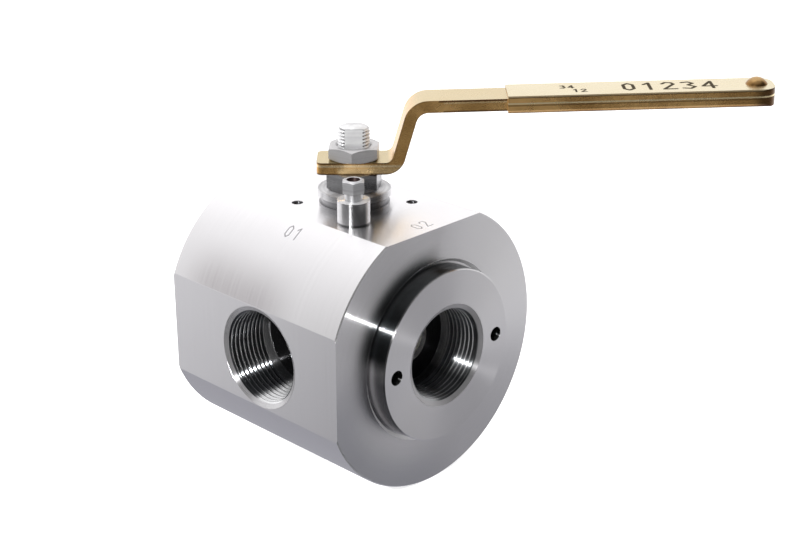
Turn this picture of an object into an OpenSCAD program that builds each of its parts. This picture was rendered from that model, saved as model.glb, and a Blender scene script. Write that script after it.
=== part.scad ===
// Four-way ball valve turned from round bar, with threaded ports, a screwed end connector and a hand lever.
// Origin: centre of the actuator pad on the top flat, on the stem axis. +Z up the stem, +X out of the connector.

/* [Body] */
// Diameter of the round bar that the body is turned from
bar_d = 125; // [122:1:150]
// Height of the top flat above the port axes
top_flat = 55.5; // [53:0.5:58]
// Distance from the stem axis to the milled side flat
side_flat = 58; // [56:0.5:60]
// Distance from the stem axis to each end port's mouth
end_reach = 56; // [54:0.5:62]
// Chamfer on the body's two turned ends
body_chamfer = 0.5; // [0.4:0.1:1.5]
// Radius of the spot face round the port in the bar's round side
spot_face_r = 26.5; // [25:0.5:28]

/* [Ports] */
// Radius of the port thread at its root
port_r = 20.96; // [18:0.01:21.5]
// Chamfer at a port's mouth
port_chamfer = 2; // [1:0.1:3]
// Wall between a port's floor and its seat pocket
port_web = 2.5; // [2:0.1:4]
// Radius of the flow passage
bore_r = 10; // [8:0.1:10.5]

/* [Ball and seats] */
// Radius of the ball
ball_r = 29; // [28:0.1:29.5]
// Gap between the ball and the seats
ball_gap = 0.3; // [0.2:0.05:0.4]
// Open space round the ball in the body's cavity
ball_clear = 2; // [1:0.1:3]
// Outer radius of a seat ring
seat_r = 18; // [16:0.1:19]
// Thickness of a seat ring behind the ball's surface on the port axis
seat_floor = 2.5; // [2:0.1:3.5]
// How far a seat ring stands out of its pocket
seat_stand = 2.5; // [1:0.1:3]
// Width of the flat land on a seat ring's front
seat_land = 0.4; // [0.2:0.1:1]
// Radial clearance of a seat ring in its pocket
seat_gap = 0.1; // [0.05:0.01:0.2]
// Section radius of a seat's O-ring
seat_seal_r = 1; // [0.8:0.05:1.2]

/* [End connector] */
// Height of the connector's head above the body's face
head_h = 8; // [5:0.5:10]
// Radius of the connector's round face
connector_r = 38.5; // [37:0.1:40]
// Radius of the connector's thread
connector_thread_r = 36; // [35:0.1:36.5]
// Radius of the connector's plain nose
nose_r = 33; // [32.4:0.1:33.5]
// Length of the connector's plain nose
nose_len = 5; // [4:0.1:7]
// Radial clearance between connector and body
connector_gap = 0.1; // [0.05:0.01:0.2]
// Depth of the turned recess that the connector's head sits in
recess_depth = 1.5; // [1:0.1:2.5]
// Width of the open ring round the connector's head
recess_gap = 0.9; // [0.5:0.1:1.5]
// Chamfer at the mouth of the recess
recess_chamfer = 1.4; // [0.5:0.1:2]
// Section radius of the connector's O-ring
connector_seal_r = 1.2; // [1:0.05:1.4]
// Distance of the two pin spanner holes from the port axis
spanner_pitch_r = 31; // [29:0.1:33]
// Radius of a pin spanner hole
spanner_hole_r = 3.3; // [2:0.1:3.5]
// Depth of a pin spanner hole
spanner_hole_depth = 7; // [4:0.1:7.5]

/* [Stem] */
// Radius of the stem's polished shank
stem_r = 8; // [7.5:0.1:8.5]
// Running clearance of the stem in the body
stem_gap = 0.05; // [0.02:0.01:0.1]
// Radius of the stem's flange inside the body
flange_r = 11; // [10:0.1:12]
// Clearance round the stem's flange
flange_side = 0.1; // [0.05:0.01:0.2]
// Thickness of the stem's flange
flange_t = 4; // [3:0.1:4.2]
// Gap between the ball and the flange above it
flange_gap = 1.5; // [0.8:0.1:2.5]
// Thickness of the thrust washer on the flange
thrust_t = 1.5; // [1:0.1:2]
// Width of the tongue that drives the ball
tongue_w = 8; // [7:0.1:9]
// Length of the tongue across the ball
tongue_len = 17; // [14:0.1:18]
// How deep the tongue reaches into the ball
tongue_depth = 5; // [3:0.1:7]
// Clearance of the tongue in the ball's slot
tongue_gap = 0.1; // [0.05:0.01:0.15]
// Radius of the stem's threaded end
thread_r = 7; // [6:0.05:7.2]
// Height of the stem's end above the pad
stem_top = 34.5; // [32:0.1:40]
// Distance across the two flats that drive the lever
stem_flats = 9.5; // [9:0.1:12]
// Section radius of a stem O-ring
stem_seal_r = 1; // [0.8:0.05:1.2]
// Height of the lower stem O-ring above the thrust washer
stem_seal_rise = 5; // [3:0.1:6]
// Distance between the two stem O-rings
stem_seal_pitch = 5.5; // [4:0.1:7]

/* [Nuts and discs] */
// Radius of the wear ring that lies on the pad
wear_ring_r = 15.5; // [13:0.1:16]
// Thickness of the wear ring
wear_ring_t = 4.2; // [3.6:0.1:4.8]
// Height of the ledge round the wear ring's foot
ledge_h = 1.2; // [0.6:0.1:2]
// Width of the ledge
ledge_w = 0.7; // [0.4:0.1:1]
// Radius of the cover disc above the wear ring
cover_r = 15.9; // [15:0.1:17]
// Thickness of the cover disc
cover_t = 2.8; // [2.2:0.1:3.5]
// Clearance between what turns with the stem and what stays
disc_gap = 0.1; // [0.05:0.01:0.2]
// Size of the lower nut across its flats
lower_nut_af = 22; // [18:0.1:23]
// Height of the lower nut
lower_nut_h = 8.4; // [7:0.1:10]
// Turn of the lower nut's corner from the lever
lower_nut_turn = -40; // [-60:1:0]
// Size of the lever nut across its flats
lever_nut_af = 21; // [20:0.1:23]
// Height of the lever nut
lever_nut_h = 6; // [5:0.1:8]
// Turn of the lever nut's corner from the lever
lever_nut_turn = -94; // [-120:1:-60]
// Share of a nut's corners that its chamfers take
nut_corner_share = 0.6; // [0.4:0.1:1]
// Chamfer at the nuts' bores and on the stem's end
nut_chamfer = 1; // [0.6:0.1:1.4]

/* [Lever] */
// Turn of the lever from the connector's axis as shown
lever_angle = 45; // [0:5:90]
// Width of the lever's flat bar
lever_w = 17.5; // [17:0.1:20]
// Thickness of the lever's flat bar
lever_t = 5.3; // [4:0.1:6]
// Distance from the stem axis to the lever's short end
tail = 16; // [13:0.1:17]
// Corner radius of the lever's short end
tail_corner_r = 2.5; // [1:0.1:4]
// Distance from the stem axis to the first bend
foot = 13.4; // [13:0.1:20]
// Inner radius of the first bend
foot_bend_r = 3.5; // [2:0.1:6]
// Angle of the cranked part above the pad
crank_angle = 74; // [60:1:80]
// Length of the straight cranked part
crank_len = 17.6; // [12:0.1:25]
// Inner radius of the second bend
arm_bend_r = 5.5; // [4:0.1:9]
// Slope of the long arm
arm_slope = 1.35; // [0:0.05:4]
// Length of the long arm after the second bend
arm_len = 145.7; // [110:0.1:200]
// Height of the lever's underside above the lower nut
lever_gap = 0; // [0:0.1:0.5]

/* [Grip] */
// Distance along the arm from the second bend to the grip
grip_start = 33.5; // [25:0.5:60]
// Wall of the grip round the bar
grip_wall = 1.2; // [0.8:0.1:2]
// Radius of the grip's end corners
grip_corner_r = 7; // [4:0.1:9]
// Bevel along the grip's lower edges
grip_bevel = 1.6; // [1:0.1:2.5]
// Break along the grip's upper edges
grip_break = 0.5; // [0.3:0.1:0.9]
// Distance of the rivet from the grip's end
rivet_inset = 7.2; // [6:0.1:10]
// Radius of the rivet's domed head
rivet_head_r = 4.7; // [4:0.1:5.5]
// Height of the rivet's domed head
rivet_head_h = 3; // [2:0.1:4]
// Height of the rivet's closed end below the grip
rivet_tail_h = 1; // [0.5:0.1:2]
// Radius of the rivet's shank
rivet_r = 2.5; // [2:0.1:3]

/* [Pad holes and stop screws] */
// Diameter of the circle that the pad's open holes and the stop screws lie on
pad_pcd = 50; // [49:0.5:52]
// Radius of an open pad hole
pad_hole_r = 2.5; // [2.1:0.05:3]
// Depth of the open pad holes and of the stop screws' holes
pad_hole_depth = 14; // [10:0.5:16]
// Outer radius of a stop sleeve
sleeve_r = 7; // [6:0.1:7.8]
// Height of a stop sleeve
sleeve_h = 10.2; // [7:0.1:12]
// Size of a stop screw across its hexagon
screw_af = 9; // [8.5:0.1:10.5]
// Height of the screw's hexagon
screw_hex_h = 5.5; // [4:0.1:7]
// Height of the round neck under the hexagon
screw_neck_h = 3.3; // [2:0.1:5]
// Radius of the round neck, which holds the sleeve down
screw_neck_r = 3.9; // [3.7:0.1:4.2]
// Radius of the screw's shank
screw_r = 3.4; // [3.2:0.05:3.5]
// Length of the screw's thread in the body
screw_grip = 11; // [8:0.1:13]
// Radius of the hole in the top of the screw
screw_hole_r = 2.85; // [2:0.05:3.2]
// Depth of the hole in the top of the screw
screw_hole_depth = 4; // [2:0.1:6]

/* [Hidden] */
$fn = 72;
over = 1;
arc_steps = 12;
bar_r = bar_d / 2;
closed_angle = 45;
body_front = end_reach - head_h;
cavity_r = ball_r + ball_clear;
seat_back = ball_r + seat_floor;
port_floor = seat_back + port_web;
head_start = body_front - recess_depth;
stem_bore_r = stem_r + stem_gap;
seal_squeeze = 0.02;
seat_groove = 2 * seat_seal_r - seal_squeeze;
connector_groove = 2 * connector_seal_r - seal_squeeze;
groove_side = 0.2;
seat_front = sqrt(pow(ball_r + ball_gap, 2) - pow(seat_r, 2)) + seat_land;
cavity_end = seat_front + seat_stand;
seat_seal_x = (cavity_end + seat_back) / 2;
nose_end = cavity_end + nose_len;
nose_seal_x = cavity_end + nose_len / 2;
flange_low = ball_r + flange_gap;
flange_top = flange_low + flange_t;
shoulder = flange_top + thrust_t;
stem_seal_low = shoulder + stem_seal_rise;
stem_seal_high = stem_seal_low + stem_seal_pitch;
tongue_low = ball_r - tongue_depth;
cover_z = wear_ring_t + disc_gap;
lower_nut_z = cover_z + cover_t;
lever_z = lower_nut_z + lower_nut_h + lever_gap;
lever_nut_z = lever_z + lever_t;
pad_r = pad_pcd / 2;
stop_angles = [-45, 135];
open_angles = [-135, 45];
grip_end = arm_len + grip_wall;
rivet_x = grip_end - rivet_inset;

// Moves a shape drawn about the ball's centre down to its place below the pad
module from_centre() {
    translate([0, 0, -top_flat]) children();
}

// Turns a shape drawn up +Z so that it points out of a port: angle is measured from +X
module facing(angle) {
    from_centre() rotate([0, 0, angle]) rotate([0, 90, 0]) children();
}

// A revolved ring of round section
module o_ring(middle_r, section_r, height) {
    translate([0, 0, height]) rotate_extrude() translate([middle_r, 0]) circle(section_r);
}

// The cut of one port: passage, threaded wall and mouth chamfer, up to a mouth at reach
module port_cut(reach) {
    cylinder(r = bore_r, h = reach);
    translate([0, 0, port_floor]) cylinder(r = port_r, h = reach - port_floor + over);
    translate([0, 0, reach - port_chamfer])
        cylinder(r1 = port_r, r2 = port_r + port_chamfer, h = port_chamfer);
    translate([0, 0, reach]) cylinder(r = port_r + port_chamfer, h = over);
}

// The pocket that holds a seat ring, open towards the ball
module seat_pocket() {
    cylinder(r = seat_r + seat_gap, h = seat_back);
}

// Blind tapped holes in the pad, each with its drill point, at the given turns round the stem
module pad_holes(angles, r) {
    for (a = angles) rotate([0, 0, a]) translate([pad_r, 0, -pad_hole_depth]) {
        cylinder(r = r, h = pad_hole_depth + over);
        translate([0, 0, -r / 2]) cylinder(r1 = 0, r2 = r, h = r / 2);
    }
}

// The turned bar with its two end chamfers, drawn up +Z from the back end
module turned_bar() {
    length = end_reach + body_front;
    rotate_extrude() polygon([[0, 0], [bar_r - body_chamfer, 0], [bar_r, body_chamfer],
        [bar_r, length - body_chamfer], [bar_r - body_chamfer, length], [0, length]]);
}

// The stepped hole that takes the ball and the connector, drawn up +Z from the ball's centre
module connector_hole() {
    mouth_r = connector_r + recess_gap;
    translate([0, 0, -cavity_end]) cylinder(r = cavity_r, h = 2 * cavity_end);
    translate([0, 0, cavity_end]) cylinder(r = nose_r + connector_gap, h = nose_len);
    translate([0, 0, nose_end]) cylinder(r = connector_thread_r + connector_gap, h = head_start - nose_end);
    translate([0, 0, head_start]) cylinder(r = mouth_r, h = recess_depth + over);
    translate([0, 0, body_front - recess_chamfer])
        cylinder(r1 = mouth_r, r2 = mouth_r + recess_chamfer, h = recess_chamfer);
}

module body() {
    color([0.72, 0.72, 0.73]) difference() {
        intersection() {
            facing(0) translate([0, 0, -end_reach]) turned_bar();
            translate([-end_reach - over, -side_flat, -top_flat - bar_r])
                cube([end_reach + body_front + 2 * over, side_flat + bar_r, top_flat + bar_r]);
        }
        facing(0) connector_hole();
        for (a = [-90, 90, 180]) facing(a) seat_pocket();
        facing(180) port_cut(end_reach);
        for (a = [-90, 90]) facing(a) port_cut(side_flat);
        facing(90) translate([0, 0, side_flat]) cylinder(r = spot_face_r, h = bar_r);
        from_centre() cylinder(r = flange_r + flange_side, h = shoulder);
        from_centre() cylinder(r = stem_bore_r, h = top_flat + over);
        pad_holes(open_angles, pad_hole_r);
        pad_holes(stop_angles, screw_r + disc_gap);
    }
}

module end_connector() {
    seal_floor = nose_r - connector_groove;
    color([0.74, 0.74, 0.75]) difference() {
        facing(0) rotate_extrude() polygon([[bore_r, cavity_end], [nose_r, cavity_end],
            [nose_r, nose_seal_x - connector_seal_r - groove_side],
            [seal_floor, nose_seal_x - connector_seal_r - groove_side],
            [seal_floor, nose_seal_x + connector_seal_r + groove_side],
            [nose_r, nose_seal_x + connector_seal_r + groove_side], [nose_r, nose_end],
            [connector_thread_r, nose_end + recess_chamfer], [connector_thread_r, head_start],
            [connector_r, head_start], [connector_r, end_reach - body_chamfer],
            [connector_r - body_chamfer, end_reach], [bore_r, end_reach]]);
        facing(0) seat_pocket();
        facing(0) port_cut(end_reach);
        for (side = [-1, 1]) facing(0) translate([0, side * spanner_pitch_r, end_reach - spanner_hole_depth])
            cylinder(r = spanner_hole_r, h = spanner_hole_depth + over);
    }
}

module connector_seal() {
    middle_r = nose_r + connector_gap - connector_seal_r - seal_squeeze;
    color([0.08, 0.08, 0.08]) facing(0) o_ring(middle_r, connector_seal_r, nose_seal_x);
}

// The passages are two bent tunnels that each join two neighbouring openings of the ball
module ball() {
    color([0.8, 0.8, 0.82]) from_centre() difference() {
        sphere(r = ball_r, $fn = 96);
        rotate([0, 0, lever_angle - closed_angle]) for (side = [-1, 1])
            translate([side * ball_r * sqrt(2), 0, 0]) rotate_extrude() translate([ball_r, 0]) circle(bore_r);
        rotate([0, 0, lever_angle]) translate([-ball_r, -tongue_w / 2 - tongue_gap, tongue_low - tongue_gap])
            cube([2 * ball_r, tongue_w + 2 * tongue_gap, ball_r]);
    }
}

module seat_ring(angle) {
    groove_low = seat_seal_x - seat_seal_r - groove_side;
    groove_high = seat_seal_x + seat_seal_r + groove_side;
    color([0.9, 0.88, 0.82]) difference() {
        facing(angle) rotate_extrude() polygon([[bore_r + seat_gap, seat_back], [bore_r + seat_gap, 0],
            [seat_r, 0], [seat_r, groove_low], [seat_r - seat_groove, groove_low],
            [seat_r - seat_groove, groove_high], [seat_r, groove_high], [seat_r, seat_back]]);
        facing(angle) cylinder(r = seat_r + over, h = 2 * seat_front, center = true);
        from_centre() sphere(r = ball_r + ball_gap, $fn = 96);
    }
}

module seat_seal(angle) {
    middle_r = seat_r + seat_gap - seat_seal_r - seal_squeeze;
    color([0.08, 0.08, 0.08]) facing(angle) o_ring(middle_r, seat_seal_r, seat_seal_x);
}

// Outline of the stem from its flange to its threaded end, with the two seal grooves
module stem_outline() {
    groove_r = stem_r - 2 * stem_seal_r;
    half = stem_seal_r + groove_side;
    shank_top = top_flat + cover_z + cover_t;
    polygon([[0, flange_low], [flange_r, flange_low], [flange_r, flange_top],
        [stem_r, flange_top], [stem_r, stem_seal_low - half], [groove_r, stem_seal_low - half],
        [groove_r, stem_seal_low + half], [stem_r, stem_seal_low + half],
        [stem_r, stem_seal_high - half], [groove_r, stem_seal_high - half],
        [groove_r, stem_seal_high + half], [stem_r, stem_seal_high + half],
        [stem_r, shank_top], [thread_r, shank_top], [thread_r, top_flat + stem_top - nut_chamfer],
        [thread_r - nut_chamfer, top_flat + stem_top], [0, top_flat + stem_top]]);
}

module stem() {
    color([0.75, 0.75, 0.76]) difference() {
        union() {
            from_centre() rotate_extrude() stem_outline();
            from_centre() intersection() {
                rotate([0, 0, lever_angle]) translate([-tongue_len / 2, -tongue_w / 2, tongue_low])
                    cube([tongue_len, tongue_w, flange_low - tongue_low + flange_t / 2]);
                cylinder(r = flange_r, h = flange_top);
            }
        }
        rotate([0, 0, lever_angle]) for (side = [-1, 1])
            translate([-stem_r, side * (stem_flats / 2 + stem_r) - stem_r, lever_z])
                cube([2 * stem_r, 2 * stem_r, stem_top]);
    }
}

module thrust_washer() {
    color([0.9, 0.88, 0.82]) from_centre() translate([0, 0, flange_top + disc_gap]) difference() {
        cylinder(r = flange_r, h = thrust_t - disc_gap);
        translate([0, 0, -over]) cylinder(r = stem_bore_r, h = thrust_t + 2 * over);
    }
}

module stem_seal(height) {
    color([0.08, 0.08, 0.08]) from_centre() o_ring(stem_r - stem_seal_r, stem_seal_r, height);
}

module ring(outer_r, inner_r, thickness, height) {
    translate([0, 0, height]) difference() {
        cylinder(r = outer_r, h = thickness);
        translate([0, 0, -over]) cylinder(r = inner_r, h = thickness + 2 * over);
    }
}

module wear_ring() {
    side = wear_ring_r - ledge_w;
    color([0.3, 0.3, 0.32]) rotate_extrude() polygon([[stem_bore_r, 0], [wear_ring_r, 0],
        [wear_ring_r, ledge_h], [side, ledge_h], [side, wear_ring_t], [stem_bore_r, wear_ring_t]]);
}

module cover_disc() {
    color([0.72, 0.73, 0.75]) ring(cover_r, stem_bore_r, cover_t, cover_z);
}

// A hexagon with its corners turned down at the ends that are named: af is the size across the flats
module hex_block(af, height, low_chamfer, high_chamfer) {
    corner_r = af / sqrt(3);
    rim = corner_r - af / 2;
    intersection() {
        cylinder(r = corner_r, h = height, $fn = 6);
        rotate_extrude() polygon([[0, 0], [corner_r - 2 * rim * low_chamfer, 0],
            [corner_r, rim * low_chamfer], [corner_r, height - rim * high_chamfer],
            [corner_r - 2 * rim * high_chamfer, height], [0, height]]);
    }
}

module hex_nut(af, height, turn) {
    rotate([0, 0, turn]) difference() {
        hex_block(af, height, nut_corner_share, nut_corner_share);
        translate([0, 0, -over]) cylinder(r = thread_r, h = height + 2 * over);
        for (end = [0, 1]) translate([0, 0, end * height]) mirror([0, 0, end])
            cylinder(r1 = thread_r + nut_chamfer, r2 = thread_r, h = nut_chamfer);
    }
}

module lower_nut() {
    color([0.62, 0.63, 0.65]) translate([0, 0, lower_nut_z])
        hex_nut(lower_nut_af, lower_nut_h, lever_angle + lower_nut_turn);
}

module lever_nut() {
    color([0.62, 0.63, 0.65]) translate([0, 0, lever_nut_z])
        hex_nut(lever_nut_af, lever_nut_h, lever_angle + lever_nut_turn);
}

// The lever is drawn flat: x runs along the bar, y is its height, z is its width
module lever_frame() {
    rotate([0, 0, lever_angle]) translate([0, 0, lever_z]) rotate([90, 0, 0]) children();
}

// Points of an arc about a centre, turning from one angle to another
function arc(centre, r, from, to) = [for (i = [0:arc_steps])
    let (a = from + (to - from) * i / arc_steps) centre + r * [cos(a), sin(a)]];
function along(angle, length) = length * [cos(angle), sin(angle)];

// Side view of the flat bar: foot, bend up, straight crank, bend back and long sloping arm
foot_centre = [foot, lever_t + foot_bend_r];
crank_end = foot_centre + along(crank_angle - 90, foot_bend_r + lever_t) + along(crank_angle, crank_len);
arm_centre = crank_end - along(crank_angle + 90, arm_bend_r);
arm_start = arm_centre + along(arm_slope + 90, arm_bend_r);
module bar_side() {
    under = concat(arc(foot_centre, foot_bend_r + lever_t, -90, crank_angle - 90),
        arc(arm_centre, arm_bend_r, crank_angle + 90, arm_slope + 90));
    above = concat(arc(foot_centre, foot_bend_r, -90, crank_angle - 90),
        arc(arm_centre, arm_bend_r + lever_t, crank_angle + 90, arm_slope + 90));
    far = arm_start + along(arm_slope, arm_len);
    polygon(concat([[-tail, 0]], under, [far, far + along(arm_slope + 90, lever_t)],
        [for (i = [len(above) - 1:-1:0]) above[i]], [[-tail, lever_t]]));
}

module arm_frame() {
    lever_frame() translate([arm_start.x, arm_start.y, 0]) rotate([0, 0, arm_slope]) children();
}

// Plan outline of a bar end with two round corners, reaching from x = 0 back to x = -length
module round_end(length, width, corner_r) {
    translate([-length, -width / 2]) square([length - corner_r, width]);
    translate([-corner_r - over, corner_r - width / 2]) square([corner_r + over, width - 2 * corner_r]);
    for (side = [-1, 1]) translate([-corner_r, side * (width / 2 - corner_r)]) circle(corner_r);
}

// The bar's far end, with corners that follow the grip's, reaching back along the arm
module arm_end(length, thickness) {
    arm_frame() translate([arm_len, lever_t / 2, 0]) rotate([-90, 0, 0])
        linear_extrude(thickness, center = true) round_end(length, lever_w, grip_corner_r - grip_wall);
}

module lever() {
    reach = tail + arm_start.x + arm_len;
    color([0.72, 0.58, 0.36]) difference() {
        intersection() {
            lever_frame() translate([0, 0, -lever_w / 2]) linear_extrude(lever_w) bar_side();
            rotate([0, 0, lever_angle + 180]) translate([tail, 0, lever_z - over])
                linear_extrude(arm_len) round_end(reach, lever_w, tail_corner_r);
            arm_end(2 * reach, arm_len);
        }
        rotate([0, 0, lever_angle]) intersection() {
            translate([0, 0, lever_z - over]) cylinder(r = thread_r, h = lever_t + 2 * over);
            translate([-stem_r, -stem_flats / 2, lever_z - over])
                cube([2 * stem_r, stem_flats, lever_t + 2 * over]);
        }
        arm_frame() translate([rivet_x, -over, 0]) rotate([-90, 0, 0]) cylinder(r = rivet_r, h = lever_t + 2 * over);
    }
}

// Section of the grip: a box round the bar, with bevelled lower edges and broken upper edges
module grip_section() {
    half = lever_w / 2 + grip_wall;
    low = -grip_wall;
    high = lever_t + grip_wall;
    polygon([[half - grip_bevel, low], [half, low + grip_bevel], [half, high - grip_break],
        [half - grip_break, high], [grip_break - half, high], [-half, high - grip_break],
        [-half, low + grip_bevel], [grip_bevel - half, low]]);
}

module grip() {
    grip_w = lever_w + 2 * grip_wall;
    color([0.72, 0.58, 0.36]) difference() {
        arm_frame() intersection() {
            translate([grip_start, 0, 0]) rotate([0, 90, 0])
                linear_extrude(grip_end - grip_start) grip_section();
            translate([grip_end, -2 * lever_t, 0]) rotate([-90, 0, 0]) linear_extrude(4 * lever_t)
                round_end(grip_end - grip_start, grip_w, grip_corner_r);
        }
        arm_end(arm_len - grip_start + over, lever_t);
        arm_frame() translate([rivet_x, -2 * lever_t, 0]) rotate([-90, 0, 0])
            cylinder(r = rivet_r, h = 4 * lever_t);
    }
}

// A rivet with a domed head above the grip and a flatter closed end below it
module grip_rivet() {
    head_sphere_r = (pow(rivet_head_r, 2) + pow(rivet_head_h, 2)) / (2 * rivet_head_h);
    tail_sphere_r = (pow(rivet_head_r, 2) + pow(rivet_tail_h, 2)) / (2 * rivet_tail_h);
    high = lever_t + grip_wall;
    color([0.66, 0.5, 0.3]) arm_frame() translate([rivet_x, 0, 0]) rotate([-90, 0, 0]) {
        translate([0, 0, -grip_wall]) cylinder(r = rivet_r, h = high + grip_wall);
        intersection() {
            translate([0, 0, high + rivet_head_h - head_sphere_r]) sphere(head_sphere_r);
            translate([0, 0, high]) cylinder(r = rivet_head_r + over, h = rivet_head_h + over);
        }
        intersection() {
            translate([0, 0, tail_sphere_r - grip_wall - rivet_tail_h]) sphere(tail_sphere_r);
            translate([0, 0, -grip_wall - rivet_tail_h - over])
                cylinder(r = rivet_head_r + over, h = rivet_tail_h + over);
        }
    }
}

module at_stop(index) {
    rotate([0, 0, stop_angles[index]]) translate([pad_r, 0, 0]) children();
}

module stop_sleeve(index) {
    color([0.7, 0.7, 0.72]) at_stop(index) ring(sleeve_r, screw_r + disc_gap, sleeve_h, 0);
}

module stop_screw(index) {
    hex_z = sleeve_h + screw_neck_h;
    color([0.7, 0.7, 0.72]) at_stop(index) difference() {
        union() {
            translate([0, 0, -screw_grip]) cylinder(r = screw_r, h = screw_grip + sleeve_h);
            translate([0, 0, sleeve_h]) cylinder(r = screw_neck_r, h = screw_neck_h);
            translate([0, 0, hex_z]) hex_block(screw_af, screw_hex_h, 0, 1);
        }
        translate([0, 0, hex_z + screw_hex_h - screw_hole_depth])
            cylinder(r = screw_hole_r, h = screw_hole_depth + over);
    }
}

body();
end_connector();
connector_seal();
ball();
seat_ring(0);  // seat_end
seat_ring(180);  // seat_back_end
seat_ring(-90);  // seat_left
seat_ring(90);  // seat_right
seat_seal(0);  // seat_seal_end
seat_seal(180);  // seat_seal_back
seat_seal(-90);  // seat_seal_left
seat_seal(90);  // seat_seal_right
stem();
thrust_washer();
stem_seal(stem_seal_low);  // stem_seal_lower
stem_seal(stem_seal_high);  // stem_seal_upper
wear_ring();
cover_disc();
lower_nut();
lever();
grip();
grip_rivet();
lever_nut();
stop_sleeve(0);  // stop_sleeve_front
stop_screw(0);  // stop_screw_front
stop_sleeve(1);  // stop_sleeve_rear
stop_screw(1);  // stop_screw_rear
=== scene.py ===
import math
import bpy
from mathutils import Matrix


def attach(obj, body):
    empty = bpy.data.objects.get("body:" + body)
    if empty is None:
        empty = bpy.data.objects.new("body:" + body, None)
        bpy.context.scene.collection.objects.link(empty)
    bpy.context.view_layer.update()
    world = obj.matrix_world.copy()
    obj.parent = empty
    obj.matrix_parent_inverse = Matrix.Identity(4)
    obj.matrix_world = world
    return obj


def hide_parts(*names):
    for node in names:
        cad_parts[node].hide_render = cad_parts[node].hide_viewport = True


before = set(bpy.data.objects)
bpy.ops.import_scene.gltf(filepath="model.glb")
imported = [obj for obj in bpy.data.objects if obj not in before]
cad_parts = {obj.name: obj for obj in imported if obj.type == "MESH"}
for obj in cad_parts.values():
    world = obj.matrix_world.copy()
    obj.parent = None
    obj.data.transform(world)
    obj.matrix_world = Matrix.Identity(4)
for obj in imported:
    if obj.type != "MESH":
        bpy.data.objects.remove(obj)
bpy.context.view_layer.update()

from types import SimpleNamespace

import bpy
import numpy as np
from mathutils import Matrix

mm = 0.001
portCentre = -55.5  # height of the port axes below the pad, in mm
print("four-way ball valve: frame loaded")

# Camera, as fitted to the edges of the valve's body in the photo
cameraPlace = {
    "azimuth": 44.51,  # degrees from the view along +Y
    "elevation": 22.35,
    "roll": -0.14,
    "distance": 0.7214,
    "target": (0.0057, 0.0186, -0.0387),
    "lens": 73.04,
    "sensor": 36.0,
}


def directionAt(azimuth, elevation):  # unit vector; azimuth in degrees from -Y towards +X, elevation upwards
    azimuth, elevation = math.radians(azimuth), math.radians(elevation)
    return np.array([math.sin(azimuth) * math.cos(elevation), -math.cos(azimuth) * math.cos(elevation),
                     math.sin(elevation)])


def standAt(name, data, axes, position):  # a camera or lamp with its right, up and back axes, at its position
    thing = bpy.data.objects.new(name, data)
    bpy.context.scene.collection.objects.link(thing)
    thing.matrix_world = Matrix.Translation(position) @ Matrix(np.column_stack(axes).tolist()).to_4x4()
    return thing


def aimCamera(place):
    # back is the unit vector from the target to the camera; right and up turn by the roll about it
    azimuth, roll = math.radians(place["azimuth"]), math.radians(place["roll"])
    back = directionAt(place["azimuth"], place["elevation"])
    level = np.array([math.cos(azimuth), math.sin(azimuth), 0])
    plumb = np.cross(back, level)
    right = level * math.cos(roll) + plumb * math.sin(roll)
    up = plumb * math.cos(roll) - level * math.sin(roll)
    data = bpy.data.cameras.new("photoCamera")
    data.lens, data.sensor_width, data.sensor_fit = place["lens"], place["sensor"], "HORIZONTAL"
    position = np.array(place["target"]) + back * place["distance"]
    bpy.context.scene.camera = standAt("photoCamera", data, [right, up, back], position)


aimCamera(cameraPlace)
bpy.context.scene.view_settings.view_transform = "Standard"


def feed(tree, made, values):  # each value is a number, a colour or a socket to link
    for key, value in values.items():
        if isinstance(value, bpy.types.NodeSocket):
            tree.links.new(value, made.inputs[key])
        else:
            made.inputs[key].default_value = value


def addNode(tree, kind, inputs=None, **settings):
    made = tree.nodes.new(kind)
    for key, value in settings.items():
        setattr(made, key, value)
    feed(tree, made, inputs or {})
    return made


def doMath(tree, operation, *values):
    return addNode(tree, "ShaderNodeMath", dict(enumerate(values)), operation=operation).outputs[0]


def times(tree, first, *others):
    for other in others:
        first = doMath(tree, "MULTIPLY", first, other)
    return first


def plus(tree, first, *others):
    for other in others:
        first = doMath(tree, "ADD", first, other)
    return first


def minus(tree, first, second):
    return doMath(tree, "SUBTRACT", first, second)


def doVector(tree, operation, *values):
    made = addNode(tree, "ShaderNodeVectorMath", dict(enumerate(values)), operation=operation)
    return made.outputs["Value" if operation in ("DOT_PRODUCT", "LENGTH") else "Vector"]


def dot(tree, first, second):
    return doVector(tree, "DOT_PRODUCT", first, second)


def remap(tree, value, low, high, newLow, newHigh, smooth=False):
    kind = "SMOOTHSTEP" if smooth else "LINEAR"
    limits = {"Value": value, "From Min": low, "From Max": high, "To Min": newLow, "To Max": newHigh}
    return addNode(tree, "ShaderNodeMapRange", limits, interpolation_type=kind).outputs["Result"]


def remapMm(tree, value, low, high, newLow, newHigh, smooth=False):  # the same, with its two limits in mm
    return remap(tree, value, low * mm, high * mm, newLow, newHigh, smooth)


def scaled(tree, vector, factor):
    return addNode(tree, "ShaderNodeVectorMath", {0: vector, "Scale": factor}, operation="SCALE").outputs[0]


def mixVectors(tree, share, first, second):
    return addNode(tree, "ShaderNodeMix", {0: share, 4: first, 5: second}, data_type="VECTOR").outputs[1]


def mixColours(tree, share, first, second):
    return addNode(tree, "ShaderNodeMix", {0: share, 6: first, 7: second}, data_type="RGBA").outputs[2]


def toWorld(tree, vector, kind):
    return addNode(tree, "ShaderNodeVectorTransform", {"Vector": vector}, vector_type=kind,
                   convert_from="OBJECT", convert_to="WORLD").outputs[0]


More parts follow.
